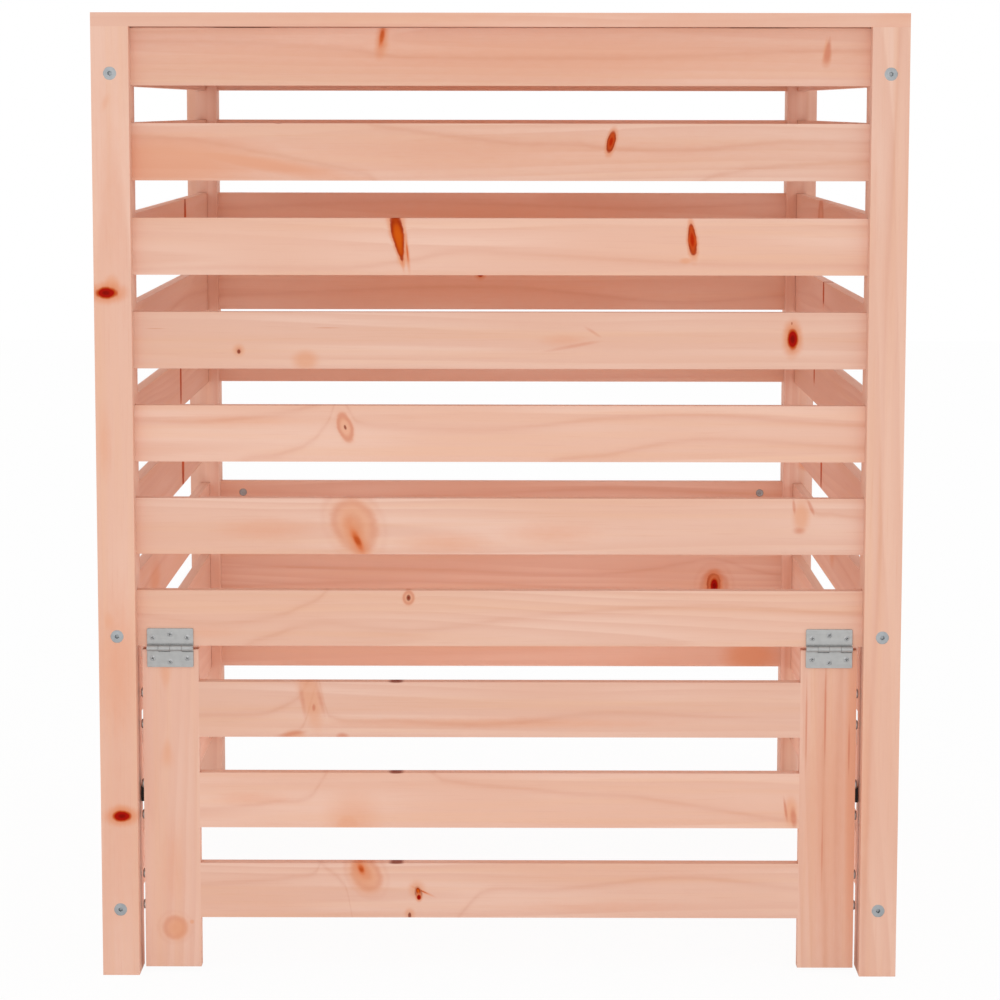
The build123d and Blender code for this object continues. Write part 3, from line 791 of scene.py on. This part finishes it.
def makeBoltsAndNuts():
    p, n = boltLook, nutLook
    boltSeats, nutSeats = [], {"side": [], "front": [], "back": []}
    for sx in (-1, 1):
        for sy in (-1, 1):
            for rail in p["rails"]:
                rise = rail + p["sideRise"]
                boltSeats.append(seat((sx * p["post"], sy * p["face"], rise), (0, sy, 0), (1, 0, 0)))
                inside = seat((sx * n["inner"], sy * n["reach"], rise), (-sx, 0, 0), (0, 0, 1))
                nutSeats["side"].append(inside)
                if sy > 0 or rail != p["rails"][-1]:
                    rise = rail + p["frontRise"]
                    boltSeats.append(seat((sx * p["face"], sy * p["post"], rise), (sx, 0, 0), (0, 1, 0)))
                    inside = seat((sx * n["reach"], sy * n["inner"], rise), (0, -sy, 0), (0, 0, 1))
                    nutSeats["back" if sy > 0 else "front"].append(inside)
    newPiece("bolts_with_sockets", copies(makeFastener(p), boltSeats), "frame", "bolt_steel", "panel_bolts")
    newPiece("post_hole_collars", copies(makeCollar(p), boltSeats), "frame", "post_wood")
    for panel, seats in nutSeats.items():
        newPiece(f"{panel}_hole_collars", copies(makeCollar(n), seats), "frame", f"{panel}_wood")
    allNuts = copies(makeFastener(n), sum(nutSeats.values(), []))
    newPiece("barrel_nuts_dished", allNuts, "frame", "bolt_steel", "barrel_nuts")
    print("bolts and nuts:", len(boltSeats))


# butt hinges: a leaf lies on its mounting face with the pin over its lower edge
hingeLook = {
    "doorSeat": (0.3405, -0.3995, 0.344), "lidSeat": (0.2625, 0.3105, 0.995),
    "width": 0.048, "reach": 0.0203, "thick": 0.0015, "corner": 0.0014, "cornerSteps": 4, "plateEdge": 0.0003,
    "crease": 0.0041, "lip": 0.0024, "tongue": 0.0003, "swingTongue": 0.00148,
    "knuckles": 4, "radius": 0.003, "sides": 32, "gap": 0.00016, "knuckleEdge": 0.00025,
    "pin": 0.0014, "pinEdge": 0.0004,
    "hole": 0.00285, "screwX": 0.0178, "outerReach": 0.0109, "middleReach": 0.0144,
    "sharpAngle": 1.0, "near": 1e-5,
}
hingeSeats = {
    "door": bothSides(hingeLook["doorSeat"], (0, -1, 0), (1, 0, 0)),
    "lid": bothSides(hingeLook["lidSeat"], (0, 0, 1), (1, 0, 0)),
}


def roundBar(mesh, x, radius, length, edge):
    p = hingeLook
    turn = Matrix.Translation((x, 0, p["radius"])) @ Matrix.Rotation(math.pi / 2, 4, "Y")
    made = bmesh.ops.create_cone(mesh, cap_ends=True, segments=p["sides"], radius1=radius, radius2=radius,
                                 depth=length, matrix=turn)
    around = {e for v in made["verts"] for e in v.link_edges}
    ends = [e for e in around if abs(e.verts[0].co.x - e.verts[1].co.x) < p["near"]]
    rounded(mesh, ends, edge)


def leafSpots():
    p = hingeLook
    return (-p["screwX"], p["outerReach"]), (0, p["middleReach"]), (p["screwX"], p["outerReach"])


def makeLeaf(ownTongue):
    p = hingeLook
    half, pitch, root = p["width"] / 2, p["width"] / p["knuckles"], p["crease"] + mm
    leaf = bmesh.new()
    corners = [(-half, p["crease"]), (half, p["crease"]), (half, p["reach"]), (-half, p["reach"])]
    plate = leaf.faces.new([leaf.verts.new((x, y, 0)) for x, y in corners])
    rounded(leaf, [v for v in plate.verts if v.co.y > root], p["corner"], "VERTICES", p["cornerSteps"])
    bmesh.ops.delete(leaf, geom=leaf.faces[:], context="FACES_ONLY")
    for x, y in leafSpots():
        bmesh.ops.create_circle(leaf, segments=fastenerLook["sides"], radius=p["hole"],
                                matrix=Matrix.Translation((x, y, 0)))
    bmesh.ops.triangle_fill(leaf, use_beauty=True, edges=leaf.edges[:])
    raised = only(bmesh.types.BMVert, bmesh.ops.extrude_face_region(leaf, geom=leaf.faces[:])["geom"])
    bmesh.ops.translate(leaf, vec=(0, 0, p["thick"]), verts=raised)
    bmesh.ops.recalc_face_normals(leaf, faces=leaf.faces)

    def onOutline(v):
        return min(v.co.y - p["crease"], p["reach"] - v.co.y, half - abs(v.co.x)) < p["near"]

    outside = [e for e in leaf.edges if e.calc_face_angle() > p["sharpAngle"]
               and all(v in raised for v in e.verts) and any(onOutline(v) for v in e.verts)]
    rounded(leaf, outside, p["plateEdge"])
    for number in range(p["knuckles"]):
        middle, own = -half + (number + 0.5) * pitch, number % 2
        low, tongue = (0, ownTongue) if own else (p["lip"], p["tongue"])
        stretch = Matrix.Diagonal((pitch - p["gap"], root - low, tongue, 1))
        move = Matrix.Translation((middle, (root + low) / 2, tongue / 2))
        bmesh.ops.create_cube(leaf, size=1, matrix=move @ stretch)
        if own:
            roundBar(leaf, middle, p["radius"], pitch - p["gap"], p["knuckleEdge"])
    return leaf


def makePin():
    pin = bmesh.new()
    roundBar(pin, 0, hingeLook["pin"], hingeLook["width"], hingeLook["pinEdge"])
    return pin


def makeHinges():
    halfTurn = Matrix.Rotation(math.pi, 4, "Z")
    for owner, places in hingeSeats.items():
        for name, body, source, turns in (
                ("fixed_leaves", "frame", makeLeaf(hingeLook["tongue"]), places),
                ("swing_leaves", owner, makeLeaf(hingeLook["swingTongue"]), [m @ halfTurn for m in places]),
                ("pins", "frame", makePin(), places)):
            node = f"{owner}_hinge_{name}"
            newPiece(f"{node}_rolled", copies(source, turns), body, "hinge_steel", node)
    print("hinges made")


hingeScrewLook = {
    "rings": countersunk(0.0028, 0.0015, 0.010), "recess": "cross", "recessSize": 0.0016,
    "recessDepth": 0.0023,
}
boardScrewLook = {
    "rings": countersunk(0.0045, 0.00225, 0.040), "recess": "cross", "recessSize": 0.0026,
    "recessDepth": 0.0022, "places": [(0.404, 0.383), (0.383, 0.404)], "top": 0.995,
}
battenScrewLook = {
    "rings": countersunk(0.003, 0.00175, 0.022), "recess": "cross", "recessSize": 0.0018,
    "recessDepth": 0.0015, "x": 0.2625, "firstY": -0.36225, "pitch": 0.1035, "count": 7, "face": 0.969,
}
catchScrewLook = {
    "rings": countersunk(0.003, 0.00175, 0.028), "recess": "cross", "recessSize": 0.0018,
    "recessDepth": 0.0015, "at": (0.3565, -0.37835, 0.186),
}
strikeScrewPlace = (0.3495, -0.3865, 0.186)
doorScrewLook = {
    "rings": [(0.0024, 0.0025), (0.0038, 0.0023), (0.0047, 0.0018), (0.005, 0.001), (0.005, 0), (0.002, 0),
              (0.002, -0.086), (0.001, -0.09)],
    "recess": "cross", "recessSize": 0.0019, "recessDepth": 0.0014,
    "x": 0.3695, "y": -0.3935, "middles": (0.279, 0.183, 0.087), "step": 0.0165,
}
screwTurn = {"first": 0.4, "step": 0.9}


# every screw stands at its own turn
def turned(places):
    p = screwTurn
    return [m @ Matrix.Rotation(p["first"] + p["step"] * i, 4, "Z") for i, m in enumerate(places)]


def leafScrews(owner, leafSide):
    spots = [Matrix.Translation((x, leafSide * y, hingeLook["thick"])) for x, y in leafSpots()]
    return [m @ spot for m in hingeSeats[owner] for spot in spots]


def makeScrews():
    b, t, c, d = boardScrewLook, battenScrewLook, catchScrewLook, doorScrewLook
    groups = {
        "frame_hinge_screws": ("frame", hingeScrewLook, leafScrews("door", 1) + leafScrews("lid", 1)),
        "door_hinge_screws": ("door", hingeScrewLook, leafScrews("door", -1)),
        "lid_hinge_screws": ("lid", hingeScrewLook, leafScrews("lid", -1)),
        "strike_screws": ("door", hingeScrewLook, bothSides(strikeScrewPlace, (0, 1, 0), (1, 0, 0))),
        "back_board_screws": ("frame", b, [
            seat((e * x, y, b["top"]), (0, 0, 1), (1, 0, 0)) for e in (-1, 1) for x, y in b["places"]]),
        "batten_screws": ("lid", t, [
            seat((e * t["x"], t["firstY"] + i * t["pitch"], t["face"]), (0, 0, -1), (1, 0, 0))
            for e in (-1, 1) for i in range(t["count"])]),
        "catch_screws": ("frame", c, bothSides(c["at"], (-1, 0, 0), (0, 1, 0))),
        "door_slat_screws": ("door", d, [
            seat((e * d["x"], d["y"], z + step), (e, 0, 0), (0, 1, 0))
            for e in (-1, 1) for z in d["middles"] for step in (-d["step"], d["step"])]),
    }
    for name, (body, look, places) in groups.items():
        newPiece(f"{name}_crossed", copies(makeFastener(look), turned(places)), body, "screw_steel", name)
    print("screws:", sum(len(places) for body, look, places in groups.values()))


# catches: a moulded body with the magnet's pocket in its front, and a rounded strike plate
catchLook = {
    "outer": 0.3745, "reach": 0.018, "front": -0.3862, "back": -0.3745, "middle": 0.186, "height": 0.016,
    "edge": 0.0012, "magnetX": 0.3635, "inset": 0.002, "pocket": 0.0102, "pocketDepth": 0.0041,
}
strikeLook = {
    "x": 0.3565, "width": 0.024, "height": 0.014, "thick": 0.001, "face": -0.3875, "corner": 0.002,
    "cornerSteps": 4,
}


def makeCatchBodies():
    p = catchLook
    body = bmesh.new()
    for side in (-1, 1):
        size = (p["reach"], p["back"] - p["front"], p["height"])
        middle = (side * (p["outer"] - p["reach"] / 2), (p["front"] + p["back"]) / 2, p["middle"])
        block = Matrix.Translation(middle) @ Matrix.Diagonal((*size, 1))
        cube = bmesh.ops.create_cube(body, size=1, matrix=block)["verts"]
        face = min({f for v in cube for f in v.link_faces}, key=lambda f: f.calc_center_median().y)
        bmesh.ops.inset_region(body, faces=[face], thickness=p["inset"])
        for v in face.verts:
            v.co.x = side * p["magnetX"] + math.copysign(p["pocket"] / 2, v.co.x - middle[0])
            v.co.z = p["middle"] + math.copysign(p["pocket"] / 2, v.co.z - p["middle"])
        sunk = bmesh.ops.extrude_face_region(body, geom=[face])["geom"]
        bmesh.ops.translate(body, vec=(0, p["pocketDepth"], 0), verts=only(bmesh.types.BMVert, sunk))
        bmesh.ops.delete(body, geom=[face], context="FACES_ONLY")
        outerEdges = {e for v in cube for e in v.link_edges if e.other_vert(v) in cube}
        rounded(body, list(outerEdges), p["edge"])
    newPiece("catch_bodies_moulded", body, "frame", "catch_plastic", "catch_bodies")


def makeStrikes():
    p = strikeLook
    plates = bmesh.new()
    for turn in bothSides((p["x"], p["face"], catchLook["middle"]), (0, 1, 0), (1, 0, 0)):
        grid = bmesh.ops.create_grid(plates, x_segments=1, y_segments=1, size=0.5,
                                     matrix=turn @ Matrix.Diagonal((p["width"], p["height"], 1, 1)))
        plate = grid["verts"][0].link_faces[0]
        top = only(bmesh.types.BMVert, bmesh.ops.extrude_face_region(plates, geom=[plate])["geom"])
        bmesh.ops.translate(plates, vec=(0, p["thick"], 0), verts=top)
        uprights = [e for v in top for e in v.link_edges if e.other_vert(v) not in top]
        rounded(plates, uprights, p["corner"], segments=p["cornerSteps"])
    newPiece("catch_strikes_rounded", plates, "door", "hinge_steel", "catch_strikes")
    print("catches and strikes made")


makeBoltsAndNuts()
makeHinges()
makeScrews()
makeCatchBodies()
makeStrikes()

# floor, light and camera
stageLook = {
    "floorSize": 14.0, "floorColour": tint(250, 250, 250), "floorRough": 0.9, "whiten": 0.95, "sky": 0.845,
}
white = (1.0, 1.0, 1.0)


def makeStage():
    p = stageLook
    mesh = bmesh.new()
    bmesh.ops.create_grid(mesh, x_segments=1, y_segments=1, size=p["floorSize"] / 2)
    data = bpy.data.meshes.new("floor")
    mesh.to_mesh(data)
    mesh.free()
    floor = bpy.data.objects.new("floor", data)
    bpy.context.scene.collection.objects.link(floor)
    f = Graph(bpy.data.materials.new("pale floor"))
    matt = f.add("ShaderNodeBsdfPrincipled", {}, {
        "Base Color": p["floorColour"], "Roughness": p["floorRough"]})
    shining = f.add("ShaderNodeEmission", {}, {0: white, 1: 1.0})
    mixed = f.add("ShaderNodeMixShader", {}, {0: f.whiteRays() * p["whiten"], 1: matt, 2: shining})
    f.add("ShaderNodeOutputMaterial", {}, {0: mixed})
    data.materials.append(f.owner)

    world = bpy.data.worlds.new("studio")
    bpy.context.scene.world = world
    f = Graph(world)
    sky, backdrop = (f.add("ShaderNodeBackground", {}, {0: white, 1: strength})
                     for strength in (p["sky"], 1.0))
    mixed = f.add("ShaderNodeMixShader", {}, {0: f.whiteRays(), 1: sky, 2: backdrop})
    f.add("ShaderNodeOutputWorld", {}, {0: mixed})


lampLooks = {
    "front softbox": {"at": (-0.9, -3.6, 1.0), "aim": (0, 0, 0.3), "size": 2.0, "watts": 7.3},
    "right fill": {"at": (3.2, -2.0, 1.4), "aim": (0, 0, 0.4), "size": 2.4, "watts": 4.0},
    "low fill": {"at": (0.3, -2.4, 0.6), "aim": (0, -0.4, 0.1), "size": 1.1, "watts": 2.5},
    "inside fill": {"at": (0, 0, 0.006), "aim": (0, 0, 1), "size": 0.7, "watts": 1.3},
}


def makeLamps():
    for name, p in lampLooks.items():
        lamp = bpy.data.lights.new(name, "AREA")
        lamp.shape, lamp.size, lamp.energy = "SQUARE", p["size"], p["watts"]
        holder = bpy.data.objects.new(name, lamp)
        holder.location = p["at"]
        holder.rotation_mode = "QUATERNION"
        holder.rotation_quaternion = (Vector(p["aim"]) - Vector(p["at"])).to_track_quat("-Z", "Y")
        holder.visible_camera = False
        bpy.context.scene.collection.objects.link(holder)


cameraLook = {
    "at": (0.007026, -3.042095, 0.900118), "yaw": 0.002634, "down": 0.096926, "roll": 0.001201,
    "focal": 2.596336, "sensor": 36.0, "shiftY": -0.14,
}


def makeCamera():
    p = cameraLook
    data = bpy.data.cameras.new("camera")
    data.sensor_width = p["sensor"]
    data.lens = p["focal"] * p["sensor"]
    data.shift_y = p["shiftY"]
    camera = bpy.data.objects.new("camera", data)
    camera.location = p["at"]
    turn = (Matrix.Rotation(p["yaw"], 3, "Z") @ Matrix.Rotation(math.pi / 2 - p["down"], 3, "X")
            @ Matrix.Rotation(p["roll"], 3, "Z"))
    camera.rotation_euler = turn.to_euler()
    bpy.context.scene.collection.objects.link(camera)
    bpy.context.scene.camera = camera


makeStage()
makeLamps()
makeCamera()
bpy.context.scene.view_settings.view_transform = "Standard"
print("stage, lamps and camera set")
